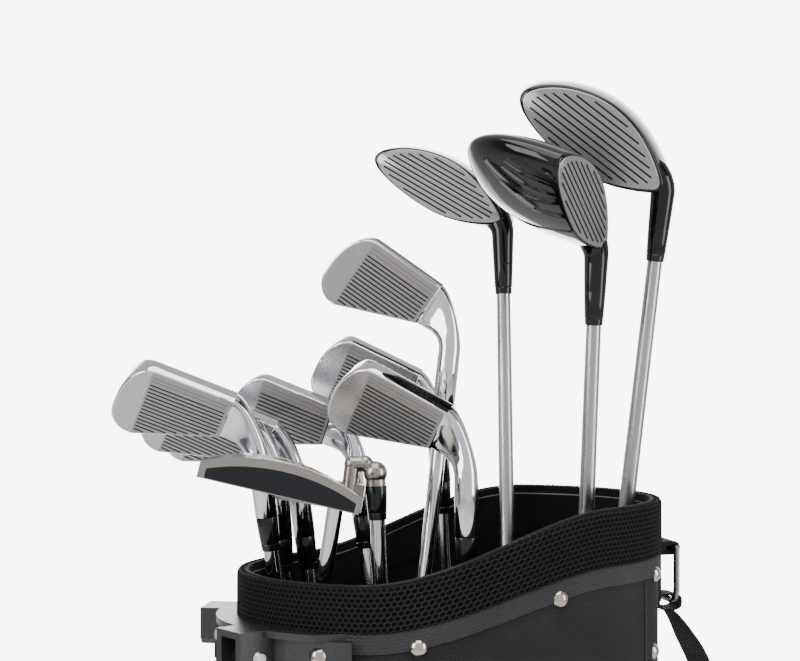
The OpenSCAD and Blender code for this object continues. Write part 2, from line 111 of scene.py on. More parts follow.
def noise(tree, vector, scale, detail):
    node = tree.nodes.new("ShaderNodeTexNoise")
    node.inputs["Scale"].default_value = scale
    node.inputs["Detail"].default_value = detail
    tree.links.new(vector, node.inputs["Vector"])
    return node.outputs["Fac"]


def threads(tree, vector, scale, axis):
    """One set of slightly uneven parallel threads."""
    node = tree.nodes.new("ShaderNodeTexWave")
    node.wave_type = "BANDS"
    node.bands_direction = axis
    node.inputs["Scale"].default_value = scale
    node.inputs["Distortion"].default_value = 0.6
    tree.links.new(vector, node.inputs["Vector"])
    return node.outputs["Fac"]


def ramp(tree, fac, stops):
    node = tree.nodes.new("ShaderNodeValToRGB")
    elements = node.color_ramp.elements
    while len(elements) < len(stops):
        elements.new(0.5)
    for element, (position, color) in zip(elements, stops):
        element.position = position
        element.color = (*color, 1)
    tree.links.new(fac, node.inputs["Fac"])
    return node.outputs["Color"]


def maths(tree, op, a, b):
    node = tree.nodes.new("ShaderNodeMath")
    node.operation = op
    for i, value in enumerate((a, b)):
        if isinstance(value, (int, float)):
            node.inputs[i].default_value = value
        else:
            tree.links.new(value, node.inputs[i])
    return node.outputs[0]


def bump(tree, shader, height, strength, distance):
    node = tree.nodes.new("ShaderNodeBump")
    node.inputs["Strength"].default_value = strength
    node.inputs["Distance"].default_value = distance
    tree.links.new(height, node.inputs["Height"])
    tree.links.new(node.outputs["Normal"], shader.inputs["Normal"])


def rough_by(tree, shader, fac, low, high):
    """Roughness that varies between two values."""
    tree.links.new(ramp(tree, fac, [(0.3, (low,) * 3), (0.7, (high,) * 3)]), shader.inputs["Roughness"])


def chrome(name, color, rough):
    mat, tree, shader = new_mat(name, color, rough, 1.0)
    rough_by(tree, shader, noise(tree, coords(tree), 60, 6), rough * 0.7, rough * 1.6)
    return mat


def satin(name, color, rough, grain):
    """Blasted or brushed metal."""
    mat, tree, shader = new_mat(name, color, rough, 1.0)
    fine = noise(tree, coords(tree), grain, 2)
    rough_by(tree, shader, fine, rough * 0.8, rough * 1.25)
    bump(tree, shader, fine, 0.12, 0.0002)
    return mat


def dull(name, color):
    """Flat paint."""
    mat, tree, shader = new_mat(name, color, 0.8)
    shader.inputs["Specular IOR Level"].default_value = 0.15
    rough_by(tree, shader, noise(tree, coords(tree), 900, 3), 0.7, 0.95)
    return mat


def gloss(name, color, rough, level):
    """Lacquer: a smooth coat with very slight waviness."""
    mat, tree, shader = new_mat(name, color, rough)
    shader.inputs["Specular IOR Level"].default_value = level
    vector = coords(tree)
    rough_by(tree, shader, noise(tree, vector, 40, 5), rough * 0.8, rough * 1.6)
    bump(tree, shader, noise(tree, vector, 25, 2), 0.02, 0.0004)
    return mat


def plastic(name, color, rough, grain=700, strength=0.15):
    mat, tree, shader = new_mat(name, color, rough)
    fine = noise(tree, coords(tree), grain, 3)
    rough_by(tree, shader, fine, rough * 0.85, rough * 1.15)
    bump(tree, shader, fine, strength, 0.0003)
    return mat


def cloth(name, dark, light, scale, diagonal=0.0, depth=0.0005, strength=0.6):
    """Woven cloth: two crossed sets of threads, with slow colour changes."""
    mat, tree, shader = new_mat(name, dark, 0.9)
    shader.inputs["Sheen Weight"].default_value = 0.03
    shader.inputs["Specular IOR Level"].default_value = 0.2
    vector = coords(tree, diagonal)
    weave = maths(tree, "MULTIPLY", threads(tree, vector, scale, "Z"), threads(tree, vector, scale, "X"))
    slow = noise(tree, coords(tree), 25, 5)
    mix = maths(tree, "ADD", maths(tree, "MULTIPLY", weave, 0.75), maths(tree, "MULTIPLY", slow, 0.35))
    tree.links.new(ramp(tree, mix, [(0.1, dark), (0.9, light)]), shader.inputs["Base Color"])
    bump(tree, shader, mix, strength, depth)
    return mat


M = {
    "chrome": chrome("iron_chrome", (0.62, 0.62, 0.64), 0.06),
    "blast": satin("iron_blasted_face", (0.3, 0.295, 0.295), 0.46, 1400),
    "toe": satin("iron_toe_satin", (0.4, 0.4, 0.415), 0.27, 1400),
    "score": dull("score_paint", (0.003, 0.003, 0.003)),
    "faint": dull("faint_score", (0.2, 0.16, 0.14)),
    "wood": gloss("wood_gloss", (0.003, 0.003, 0.0035), 0.05, 0.32),
    "wood_face": satin("wood_face_satin", (0.33, 0.33, 0.335), 0.36, 1200),
    "putter": satin("putter_satin", (0.3, 0.275, 0.25), 0.3, 900),
    "insert": dull("putter_insert", (0.012, 0.012, 0.014)),
    "shaft": chrome("shaft_chrome", (0.58, 0.58, 0.6), 0.08),
    "shaft_satin": chrome("shaft_satin", (0.38, 0.37, 0.36), 0.26),
    "ferrule": gloss("ferrule_gloss", (0.004, 0.004, 0.004), 0.12, 0.35),
    "grip": plastic("grip_rubber", (0.012, 0.012, 0.012), 0.75, 500, 0.6),
    "mesh": cloth("collar_mesh", (0.006, 0.006, 0.007), (0.022, 0.022, 0.023), 900),
    "mesh_back": cloth("collar_backing", (0.001, 0.001, 0.001), (0.003, 0.003, 0.003), 700),
    "lining": cloth("mouth_lining", (0.0015, 0.0015, 0.0015), (0.005, 0.005, 0.005), 600),
    "shell": cloth("shell_fabric", (0.003, 0.003, 0.0033), (0.045, 0.044, 0.046), 300, 0.7, 0.001, 1.0),
    "tape": cloth("tape", (0.012, 0.012, 0.013), (0.075, 0.073, 0.074), 400, 0.2),
    "webbing": cloth("webbing", (0.004, 0.004, 0.004), (0.03, 0.03, 0.031), 650),
    "bracket": plastic("bracket_plastic", (0.012, 0.012, 0.014), 0.4, 500, 0.2),
    "base": plastic("base_plastic", (0.02, 0.02, 0.022), 0.6, 350, 0.5),
    "leg": plastic("leg_paint", (0.008, 0.008, 0.008), 0.14, 200, 0.01),
    "rubber": plastic("shoe_rubber", (0.012, 0.012, 0.012), 0.8, 500, 0.5),
    "nickel": chrome("nickel", (0.42, 0.38, 0.32), 0.16),
    "dark_nickel": chrome("dark_nickel", (0.2, 0.19, 0.18), 0.2),
    "steel": satin("stay_steel", (0.5, 0.5, 0.5), 0.32, 900),
    "piping": plastic("piping", (0.12, 0.12, 0.125), 0.5),
    "pad": cloth("pad_mesh", (0.004, 0.004, 0.004), (0.03, 0.03, 0.031), 380),
}


# ---------- mesh helpers (millimetres in, metres out) ----------
def add(name, verts, faces, mat, body, smooth=True, sharp=40):
    me = bpy.data.meshes.new(name)
    me.from_pydata([tuple(np.asarray(v) * MM) for v in verts], [], [tuple(f) for f in faces])
    me.update()
    ob = bpy.data.objects.new(name, me)
    bpy.context.scene.collection.objects.link(ob)
    if smooth:
        me.shade_smooth()
        me.set_sharp_from_angle(angle=math.radians(sharp))
    me.materials.append(M[mat])
    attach(ob, body)
    return ob


def loft(loops, closed_ends=True):
    """Skin over equal loops of points."""
    n = len(loops[0])
    verts = [p for loop in loops for p in loop]
    faces = []
    for i in range(len(loops) - 1):
        for j in range(n):
            k = (j + 1) % n
            faces.append((i * n + j, i * n + k, (i + 1) * n + k, (i + 1) * n + j))
    if closed_ends:
        faces.append(tuple(range(n - 1, -1, -1)))
        faces.append(tuple((len(loops) - 1) * n + j for j in range(n)))
    return verts, faces


def unit(v):
    return v / np.linalg.norm(v)


def power(v, e):
    """v to a power with its sign kept, which squares up a circle's corners."""
    return math.copysign(abs(v) ** e, v)


def refinish(node, mat, sharp=None):
    """Gives a CAD node another finish, and smooth shading between its sharp edges."""
    data = nodes[node].data
    data.materials.clear()
    data.materials.append(M[mat])
    if sharp:
        data.shade_smooth()
        data.set_sharp_from_angle(angle=math.radians(sharp))


class Club:
    """A club's own frame: p(x, y, z), z up its shaft from the grip's cap. Its line ends at reach."""

    def __init__(self, name):
        self.kind, turn, loft_deg = DECK[name]
        self.name, self.loft = name, math.radians(loft_deg)
        joint = next(j for j in frame["joints"] if j["name"] == name + "_draw")
        self.d = unit(np.array(joint["axis"], float))
        grip = self.corners("grip")
        along = grip @ self.d
        self.cap = grip[along < along.min() + 0.3].mean(0)
        a = unit(np.cross([0, 1, 0], self.d))
        b = np.cross(self.d, a)
        c, s = math.cos(math.radians(turn)), math.sin(math.radians(turn))
        self.x, self.y = c * a + s * b, -s * a + c * b
        self.reach = self.find_reach()

    def corners(self, part):
        return np.array([v.co[:] for v in nodes[f"{self.name}_{part}"].data.vertices]) / MM

    def up_and_off(self, points):
        """Each point's height along the shaft and its distance from the shaft's line."""
        rel = points - self.cap
        up = rel @ self.d
        return up, np.linalg.norm(rel - up[:, None] * self.d, axis=1)

    def find_reach(self):
        """The line ends a neck's length above the neck's foot, or, with no neck, where the shaft bends."""
        if self.kind == "mallet":
            # the shaft's bend begins where its corners leave the line
            up, off = self.up_and_off(self.corners("shaft"))
            return up[off < TIP_R + 0.1].max() - 4.0
        up, off = self.up_and_off(self.corners("head"))
        if self.kind == "blade":
            return up[abs(off - BALL_NECK_R) < 0.4].min() + BALL_NECK_L
        return up.min() + {"iron": HOSEL_L, "wood": WOOD_NECK}[self.kind]

    def p(self, x, y, z):
        return self.cap + x * self.x + y * self.y + z * self.d

    def face(self, lie):
        """Axes of the face: t to the toe, s to the sole, w back."""
        tilt = math.radians(90 - lie)
        loft_a = self.loft
        local = lambda v: v[0] * self.x + v[1] * self.y + v[2] * self.d
        t = local((-math.cos(tilt), 0, math.sin(tilt)))
        s = local((math.cos(loft_a) * math.sin(tilt), -math.sin(loft_a), math.cos(loft_a) * math.cos(tilt)))
        w = local((math.sin(loft_a) * math.sin(tilt), math.cos(loft_a), math.sin(loft_a) * math.cos(tilt)))
        return t, s, w

    def lathe(self, name, profile, mat, slot, n=40):
        """A turned piece along the shaft, from (height, radius) pairs."""
        loops = [[self.p(r * math.cos(2 * math.pi * k / n), r * math.sin(2 * math.pi * k / n), z)
                  for k in range(n)] for z, r in profile]
        v, f = loft(loops)
        return add(f"{self.name}_{name}", v, f, mat, self.name, sharp=30)


def tube(name, path, radii, mat, body, n=24):
    """A round bar along a path, with a radius for each point."""
    path = [np.array(p, float) for p in path]
    loops = []
    ref = np.array([0.0, 1.0, 0.1])
    for i, p in enumerate(path):
        d = unit(path[min(i + 1, len(path) - 1)] - path[max(i - 1, 0)])
        u = unit(np.cross(ref, d))
        v = np.cross(d, u)
        loops.append([p + radii[i] * (math.cos(a) * u + math.sin(a) * v)
                      for a in (2 * math.pi * k / n for k in range(n))])
    verts, faces = loft(loops)
    return add(name, verts, faces, mat, body, sharp=30)


def arc(cx, cy, rx, ry, a0, a1, n):
    """Points along part of an oval, between two angles in degrees."""
    return [(cx + rx * math.cos(math.radians(a0 + (a1 - a0) * i / n)),
             cy + ry * math.sin(math.radians(a0 + (a1 - a0) * i / n))) for i in range(n + 1)]


def clip_span(poly, s, lo, hi):
    """The stretch of the line at height s inside a polygon, kept between lo and hi."""
    xs = []
    for (x0, y0), (x1, y1) in zip(poly, poly[1:] + poly[:1]):
        if (y0 - s) * (y1 - s) < 0:
            xs.append(x0 + (x1 - x0) * (s - y0) / (y1 - y0))
    return (max(min(xs), lo), min(max(xs), hi)) if len(xs) > 1 else (0, -1)


def inset(poly, centre, k):
    """An outline drawn in towards a centre, to k times its size."""
    return [(centre[0] + (x - centre[0]) * k, centre[1] + (y - centre[1]) * k) for x, y in poly]


# ---------- clubs ----------
def shaft_and_ferrule(c):
    neck = {"iron": HOSEL_L, "wood": WOOD_NECK, "blade": BALL_NECK_L, "mallet": 0}[c.kind]
    top = c.reach - neck - (0 if c.kind == "mallet" else FERRULE_L)
    # steel shafts of irons and putters step down in rings; the woods' taper evenly
    steps = 0 if c.kind == "wood" else 11
    step_pitch, plain_tip = 42, 115
    profile = [(8.0, SHAFT_TOP_R)]
    for i in range(steps):
        z = top - plain_tip - step_pitch * (steps - 1 - i)
        above, below = (TIP_R + (SHAFT_TOP_R - TIP_R) * (steps - i - k) / steps for k in (0, 1))
        profile += [(z - 0.8, above), (z + 0.8, below)]
    profile.append((top + 0.5, TIP_R))
    steel = "shaft_satin" if c.kind == "wood" else "shaft"
    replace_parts(c.lathe("shaft_skin", profile, steel, "shaft_steel"), c.name + "_shaft")
    if c.kind != "mallet":
        ferrule = [(0, TIP_R + 0.1), (0.3, TIP_R + 0.8), (4, 5.9), (4.4, 5.7), (5, 6.0),
                   (FERRULE_L - 1, 6.75), (FERRULE_L, 6.6)]
        c.lathe("ferrule", [(top + z, r) for z, r in ferrule], "ferrule", "shaft_steel")
    # grip: a rounded cap, then a taper cut by shallow grooves
    cap_r, end_r, groove = 11.7, 8.9, 0.35
    profile = [(0, 11.4), (0.3, 12.2), (1.2, 12.5), (4.5, 12.5), (6.5, cap_r)]
    for i in range(31):
        z = 8 + i * 8.4
        r = cap_r + (end_r - cap_r) * (z - 6.5) / (GRIP_L - 10)
        profile += [(z, r), (z + 0.8, r - groove), (z + 2.4, r - groove), (z + 3.2, r)]
    profile += [(GRIP_L - 1, 8.5), (GRIP_L, 8.2)]
    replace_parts(c.lathe("grip_skin", profile, "grip", "grip_rubber", 32), c.name + "_grip")


def score_lines(at, spans, half, back):
    """Flat painted lines across a face, from (s, t at the heel, t at the toe)."""
    verts, faces = [], []
    for q, a, b in spans:
        k = len(verts)
        verts += [at(a, q - half, back), at(b, q - half, back), at(b, q + half, back), at(a, q + half, back)]
        faces.append((k, k + 1, k + 2, k + 3))
    return verts, faces


def iron_outline():
    """The blade's outline as (t, s): its sole at s = 0, a round toe, and the top line back to the heel."""
    heel_h = 24.5
    outline = [(a, 0.0) for a in (IRON_HEEL, 20, 30, 40, 50)]
    outline += arc(59, -30, 18, 30, 90, 0, 14)
    outline += arc(63, -36, 14, 15, 0, -100, 14)
    a_end, b_end = outline[-1]
    slope = (b_end + heel_h) / a_end
    outline += [(a, -heel_h + slope * a) for a in (50, 40, 30, 20, IRON_HEEL)]
    return outline, -heel_h + slope * IRON_HEEL


def iron_depth(b):
    """The blade's thickness, from its thin top line to its wide sole."""
    return float(np.interp(b, [-58, -30, -18, -11, -5, -1, 0.5], [4.5, 5, 7.5, 13, 15, 12, 10]))


def iron_neck(c, at, t, heel_top):
    """Skin from the blade's heel section round into the hosel."""
    n = 36
    blade_pull, hosel_pull, bend_l = 24, 34, 36
    section, circle = [], []
    for k in range(n):
        angle = 2 * math.pi * k / n
        ca, sa = math.cos(angle), math.sin(angle)
        b = heel_top / 2 * (1 - power(ca, 0.55))
        back = iron_depth(b) / 2 * (1 + power(sa, 0.45))
        section.append(at(IRON_HEEL + 0.2, min(0, b), back))
        circle.append((HOSEL_R * ca, HOSEL_R * sa))
    bend_end = [c.p(x, y, c.reach - bend_l) for x, y in circle]
    loops = [section]
    for i in range(1, 17):
        u = i / 16
        h00, h10 = 2 * u ** 3 - 3 * u ** 2 + 1, u ** 3 - 2 * u ** 2 + u
        h01, h11 = -2 * u ** 3 + 3 * u ** 2, u ** 3 - u ** 2
        loops.append([h00 * p + h10 * blade_pull * (-t) + h01 * q + h11 * hosel_pull * (-c.d)
                      for p, q in zip(section, bend_end)])
    z_low = c.reach - HOSEL_L
    loops.append([c.p(x, y, z_low + 0.6) for x, y in circle])
    loops.append([c.p(x * 0.93, y * 0.93, z_low) for x, y in circle])
    verts, faces = loft(loops)
    add(f"{c.name}_neck", verts, faces, "chrome", c.name, sharp=60)


def iron_face(c, at, outline):
    """Blasted middle, smoother toe, and score lines: two faint ones by the sole, then the black ones."""
    inner = inset(outline, IRON_MIDDLE, 0.965)
    line_edge = inset(outline, IRON_MIDDLE, 0.9)
    heel_t, toe_t = 10.0, 60.0
    zones = (("blasted_face", "blast", heel_t - 0.5, toe_t + 1), ("toe_face", "toe", toe_t + 1, 90))
    for zone, mat, t0, t1 in zones:
        rows = []
        for i in range(70):
            q = -0.9 - i * 0.75
            a, b = clip_span(inner, q, t0, t1)
            if b - a > 0.6:
                rows.append((q, a, b))
        verts = [at(a, q, -0.06) for q, *ends in rows for a in ends]
        faces = [(2 * i, 2 * i + 1, 2 * i + 3, 2 * i + 2) for i in range(len(rows) - 1)]
        add(f"{c.name}_{zone}", verts, faces, mat, c.name, smooth=False)
    faint_at = [-4.6, -7.2]
    black_at = [-10.4 - 2.75 * k for k in range(14)]
    for label, mat, heights in (("score_lines", "score", black_at), ("faint_lines", "faint", faint_at)):
        spans = [(q, *clip_span(line_edge, q, heel_t + 1, toe_t)) for q in heights]
        verts, faces = score_lines(at, [span for span in spans if span[2] - span[1] >= 5], 0.5, -0.1)
        add(f"{c.name}_{label}", verts, faces, mat, c.name, smooth=False)


def iron(c):
    t, s, w = c.face(IRON_LIE)
    lead = 6
    origin = c.p(0, 0, c.reach) - lead * w
    at = lambda a, b, back: origin + a * t + b * s + back * w
    outline, heel_top = iron_outline()
    rings = []
    # the front's rings and its rounded edge, then the back's, which follow the thickness
    for share, back in ((0.3, 0), (0.7, 0), (0.975, 0), (0.993, 0.25), (1.0, 0.9)):
        rings.append([at(a, b, back) for a, b in inset(outline, IRON_MIDDLE, share)])
    for share, back in ((1.0, -0.9), (0.99, -0.2), (0.96, 0), (0.85, 0), (0.7, 0), (0.5, 0), (0.25, 0)):
        rings.append([at(a, b, max(0.95, iron_depth(b) + back))
                      for a, b in inset(outline, IRON_MIDDLE, share)])
    verts, faces = loft(rings)
    blade_skin = add(f"{c.name}_blade", verts, faces, "chrome", c.name, sharp=50)
    iron_neck(c, at, t, heel_top)
    iron_face(c, at, outline)
    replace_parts(blade_skin, c.name + "_head")


def wood(c):
    face_l, face_h, depth = (108, 47, 84) if c.name == "driver" else (101, 38, 74)
    front = -13.0
    t, s, w = c.face(WOOD_LIE)
    origin = c.p(0, 0, c.reach)
    at = lambda a, b, back: origin + a * t + b * s + back * w
    outline = []
    for k in range(72):
        u, v = math.cos(2 * math.pi * k / 72), math.sin(2 * math.pi * k / 72)
        pinch = 0.45 if u < 0 else 0.15
        outline.append((face_l * (0.36 + 0.5 * u),
                        -face_h * (0.5 + 0.14 * max(0, u) ** 2) + face_h * 0.5 * v * (1 - pinch * u * u)))
    cx, cy = face_l * 0.4, -face_h * 0.54
    # body: a short rounded front edge, then the crown and sole closing in to the back
    loops = []
    for i in range(26):
        q = i / 25
        if q < 0.1:
            g = q / 0.1
            back = front + 1.6 * g
            share = 0.965 + 0.035 * math.sin(g * math.pi / 2)
        else:
            g = (q - 0.1) / 0.9
            back = -11.4 + (depth + 2) * math.sin(g * math.pi / 2) ** 1.1
            share = (1 + 0.16 * math.sin(g * math.pi)) * max(0.0, math.cos(g * math.pi / 2)) ** 0.62
        share = max(share, 0.02)
        shift = 4 * (1 - share)
        loops.append([at(cx + (x - cx) * share + shift, cy + (y - cy) * share * (1 - 0.06 * q), back)
                      for x, y in outline])
    verts, faces = loft(loops)
    body = add(f"{c.name}_body", verts, faces, "wood", c.name, sharp=70)
    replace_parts(body, c.name + "_head")
    # face plate with its lines
    plate = [[at(x, y, back) for x, y in inset(outline, (cx, cy), share)]
             for share, back in ((0.945, front), (0.93, -13.35), (0.5, -13.4))]
    verts, faces = loft(plate)
    add(f"{c.name}_face_plate", verts, faces, "wood_face", c.name, sharp=30)
    line_edge = inset(outline, (cx, cy), 0.84)
    heights = [-face_h * 0.12 - i * face_h * 0.085 for i in range(10)]
    spans = [(q, *clip_span(line_edge, q, -20, face_l)) for q in heights]
    verts, faces = score_lines(at, [span for span in spans if span[2] - span[1] >= 8], 0.55, -13.46)
    add(f"{c.name}_score_lines", verts, faces, "score", c.name, smooth=False)
    # hosel: up the shaft's line, then bending into the heel and widening
    path, radii = [], []
    for i in range(15):
        u = i / 14
        point = c.p(0, 0, c.reach - WOOD_NECK + (WOOD_NECK - 22) * min(1, u * 1.25))
        if u > 0.55:
            k = (u - 0.55) / 0.45
            point = point * (1 - k * k) + at(10, -face_h * 0.52, 4) * (k * k)
        path.append(point)
        radii.append(6.8 + 1.6 * u + (5.5 * ((u - 0.5) / 0.5) ** 2 if u > 0.5 else 0))
    tube(f"{c.name}_hosel", path, radii, "wood", c.name, 36)


def mallet(c):
    """The CAD head with its dark insert, its recess and the shaft's bent end."""
    refinish(c.name + "_head", "putter")
    length, height, sole_r, rise = 94, 19.0, 120.0, math.radians(16)
    corner = c.p(20, -34, c.reach + 48)
    ex = -math.cos(rise) * c.x + math.sin(rise) * c.d
    ez = math.sin(rise) * c.x + math.cos(rise) * c.d
    at = lambda a, b, z: corner + a * ex + b * c.y + z * ez
    top = lambda a: height - (sole_r - math.sqrt(sole_r ** 2 - (a - length / 2) ** 2))
    rim = 3.4
    across = [rim + (length - 2 * rim) * i / 30 for i in range(31)]
    edge = [(a, 2.6) for a in across] + [(a, top(a) - 2.9) for a in across[::-1]]
    verts, faces = loft([[at(a, -0.02, z) for a, z in edge],
                         [at(a, -0.3, z) for a, z in inset(edge, (length / 2, 8), 0.995)]])
    add("mallet_putter_insert", verts, faces, "insert", c.name, smooth=False)
    recess = [(9, 5), (30, 9), (17, 26), (11, 22)]
    verts, faces = loft([[at(a, b, top(a) - 0.5) for a, b in recess],
                         [at(a, b, top(a) + 0.12) for a, b in inset(recess, (16, 15), 0.97)]])
    add("mallet_putter_cavity", verts, faces, "insert", c.name, smooth=False)
    base, tip = c.p(0, 0, c.reach), c.p(8, -25, c.reach + 56)
    path = [c.p(0, 0, c.reach - 2)] + [base + (tip - base) * i / 8 for i in range(1, 9)]
    tube("mallet_putter_bent_tip", path, [TIP_R] * len(path), "shaft", c.name)


def blade(c):
    refinish(c.name + "_head", "putter", sharp=40)


for name in DECK:
    club = Club(name)
    shaft_and_ferrule(club)
    {"iron": iron, "wood": wood, "mallet": mallet, "blade": blade}[club.kind](club)


# ---------- bag ----------
def ease(v):
    k = min(1, max(0, v))
    return k * k * (3 - 2 * k)


def rim_z(x):
    """The rim's height, which rises from the stand's side to the strap's."""
    return 826 + 40 * ease((x + 80) / 155)


def collar_z(x):
    return rim_z(x) - COLLAR_H - 7 * ease((x + 80) / 155)


def side(half, a, off=0.0):
    """A point on an oval at angle a, moved out along its normal."""
    c, s = math.cos(a), math.sin(a)
    n = unit(np.array([c / half[0], s / half[1]]))
    return np.array([half[0] * c, half[1] * s]) + off * n


def ripple(a, z, amp=1.0):
    """Slow wrinkles of soft cloth."""
    return amp * (0.5 * math.sin(3 * a + z / 70) + 0.3 * math.sin(7 * a - z / 45 + 1.3)
                  + 0.2 * math.sin(11 * a + z / 23))


def ring(path, r, name, mat, n=8):
    """A closed cord round the bag."""
    path = [np.array(p, float) for p in path]
    verts, faces = [], []
    m = len(path)
    for i, p in enumerate(path):
        d = unit(path[(i + 1) % m] - path[i - 1])
        u = unit(np.cross([0, 0, 1.0], d))
        v = np.cross(d, u)
        for k in range(n):
            a = 2 * math.pi * k / n
            verts.append(p + r * (math.cos(a) * u + math.sin(a) * v))
    for i in range(m):
        for k in range(n):
            j, l = (i + 1) % m, (k + 1) % n
            faces.append((i * n + k, i * n + l, j * n + l, j * n + k))
    return add(name, verts, faces, mat, "bag")


def over_rim(u, v):
    """The collar's surface: u round the bag, v up its outside, over the rounded rim and down the inside."""
    a = 2 * math.pi * u
    x = OUT[0] * math.cos(a)
    low, high = collar_z(x), rim_z(x)
    rise = high - low - COLLAR_THICK / 2
    bend = math.pi * COLLAR_THICK / 2
    proud = 0.6
    if v < rise:
        off, z = proud, low + v
    elif v < rise + bend:
        g = (v - rise) / (COLLAR_THICK / 2)
        off = proud - COLLAR_THICK / 2 + COLLAR_THICK / 2 * math.cos(g)
        z = high - COLLAR_THICK / 2 + COLLAR_THICK / 2 * math.sin(g)
    else:
        off, z = proud - COLLAR_THICK, high - COLLAR_THICK / 2 - (v - rise - bend)
    xy = side(OUT, a, off)
    return (xy[0], xy[1], z)


def collar():
    """A net of hexagons over the CAD collar, and a thin light piping inside the rim."""
    around, row_h, drop = 210, 3.3 * 0.86, 66
    verts, faces, index = [], [], {}

    def corner(i, j):
        # i counts half cells round the bag and j rows; every other corner sits a little higher
        key = (i % (2 * around), j)
        if key not in index:
            index[key] = len(verts)
            zig = 0.165 if (i + j) % 2 == 0 else -0.165
            verts.append(over_rim(i / (2 * around), 0.6 + (j + zig) * row_h))
        return index[key]

    for j in range(int(drop / row_h)):
        for i in range(0, 2 * around, 2):
            k = i + (j % 2)
            below = tuple(corner(k + step, j) for step in (0, 1, 2))
            faces.append(below + tuple(corner(k + step, j + 1) for step in (2, 1, 0)))
    net = add("collar_net", verts, faces, "mesh", "bag", smooth=False)
    wire = net.modifiers.new("wire", "WIREFRAME")
    wire.thickness = 1.15 * MM
    wire.use_even_offset = False
    refinish("collar", "mesh_back")
    angles = [2 * math.pi * k / 240 for k in range(240)]
    path = [(*side(OUT, a, -COLLAR_THICK - 0.2), rim_z(OUT[0] * math.cos(a)) - 5.5) for a in angles]
    ring(path, 0.55, "mouth_piping", "piping")


def shell():
    """The bag's cloth, with slight wrinkles, and its four side seams."""
    n, rows = 220, 90
    verts, faces = [], []
    for j in range(rows + 1):
        for i in range(n):
            a = 2 * math.pi * i / n
            z = BASE_TOP + (collar_z(SHELL[0] * math.cos(a)) - BASE_TOP) * j / rows
            fade = min(1, j / 6, (rows - j) / 8)
            xy = side(SHELL, a, 0.15 + 0.9 * fade * ripple(a, z))
            verts.append((xy[0], xy[1], z))
    for j in range(rows):
        for i in range(n):
            k = (i + 1) % n
            faces.append((j * n + i, j * n + k, (j + 1) * n + k, (j + 1) * n + i))
    skin = add("shell_cloth", verts, faces, "shell", "bag")
    solid = skin.modifiers.new("thick", "SOLIDIFY")
    solid.thickness = 2.0 * MM
    solid.offset = -1
    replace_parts(skin, "bag_shell")
    for a_deg in (-142, -38, 38, 142):
        a = math.radians(a_deg)
        seam_top = collar_z(SHELL[0] * math.cos(a)) - TAPE_H - 2
        zs = [80 + (seam_top - 80) * i / 60 for i in range(61)]
        path = [(*side(SHELL, a, 0.6 + 0.9 * ripple(a, z)), z) for z in zs]
        tube(f"seam_{'m' if a_deg < 0 else 'p'}{abs(a_deg)}", path, [0.9] * 61, "tape", "bag", 8)


def tape():
    """The ribbed binding below the collar, from one profile of (out, down) swept round the bag."""
    n = 300
    profile = [(0.0, -TAPE_H), (1.3, -TAPE_H + 0.3), (1.5, -TAPE_H + 1.2)]
    for k in range(5):
        z = -TAPE_H + 1.6 + k * 2.0
        profile += [(1.35, z), (1.7, z + 0.5), (1.7, z + 1.2), (1.35, z + 1.7)]
    profile += [(1.3, -0.2), (0.0, -0.05)]
    m = len(profile)
    verts, faces = [], []
    for i in range(n):
        a = 2 * math.pi * i / n
        edge_z = collar_z(SHELL[0] * math.cos(a))
        for off, dz in profile:
            xy = side(SHELL, a, off)
            verts.append((xy[0], xy[1], edge_z + dz))
    for i in range(n):
        j = (i + 1) % n
        for k in range(m - 1):
            faces.append((i * m + k, j * m + k, j * m + k + 1, i * m + k + 1))
    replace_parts(add("binding_ribs", verts, faces, "tape", "bag"), "binding_tape")


def pocket(name, a0, a1, depth, z0, z1):
    """A crowned pouch between two angles and two heights, with its zip."""
    n, rows = 40, 40

    def skin(u, z, out=0.0):
        v = (z - z0) / (z1 - z0)
        edge = max(0, min(v, 1 - v))
        crown = min(1, edge / 0.09) ** 0.5
        a = math.radians(a0 + (a1 - a0) * u)
        d = 4 + (depth - 4) * max(0, math.sin(math.pi * u)) ** 0.45
        d = 0.5 + (d - 0.5) * (0.25 + 0.75 * crown) if crown < 1 else d
        wrinkle = ripple(a * 3, z, 1.1) * crown * min(1, 6 * min(u, 1 - u))
        return (*side(SHELL, a, max(0.4, d - 1.0 + wrinkle) + out), z)

    verts, faces = [], []
    for j in range(rows + 1):
        for i in range(n + 1):
            verts.append(skin(i / n, z0 + (z1 - z0) * j / rows))
    for j in range(rows):
        for i in range(n):
            q = j * (n + 1) + i
            faces.append((q, q + 1, q + n + 2, q + n + 1))
    # its lower and upper ends, and its two sides, closed against the bag
    base = len(verts)
    for z in (z0, z1):
        for i in range(n + 1):
            verts.append((*side(SHELL, math.radians(a0 + (a1 - a0) * i / n), 0.1), z))
    for k, j in enumerate((0, rows)):
        for i in range(n):
            b = base + k * (n + 1) + i
            q = j * (n + 1) + i
            faces.append((b, b + 1, q + 1, q) if k == 0 else (q, q + 1, b + 1, b))
    for i in (0, n):
        faces.append((base + i, *(j * (n + 1) + i for j in range(rows + 1)), base + n + 1 + i))
    pouch = add(name + "_pouch", verts, faces, "shell", "bag", sharp=70)
    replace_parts(pouch, name)
    zip_z = z1 - 14
    path = [skin(i / n, zip_z, 0.2) for i in range(n + 1)]
    tube(name + "_zip", path, [1.7] * len(path), "piping", "bag", 8)
    zip_pull(name, np.array(skin(0.5, zip_z)), np.array(skin(0.52, zip_z)) - np.array(skin(0.48, zip_z)))


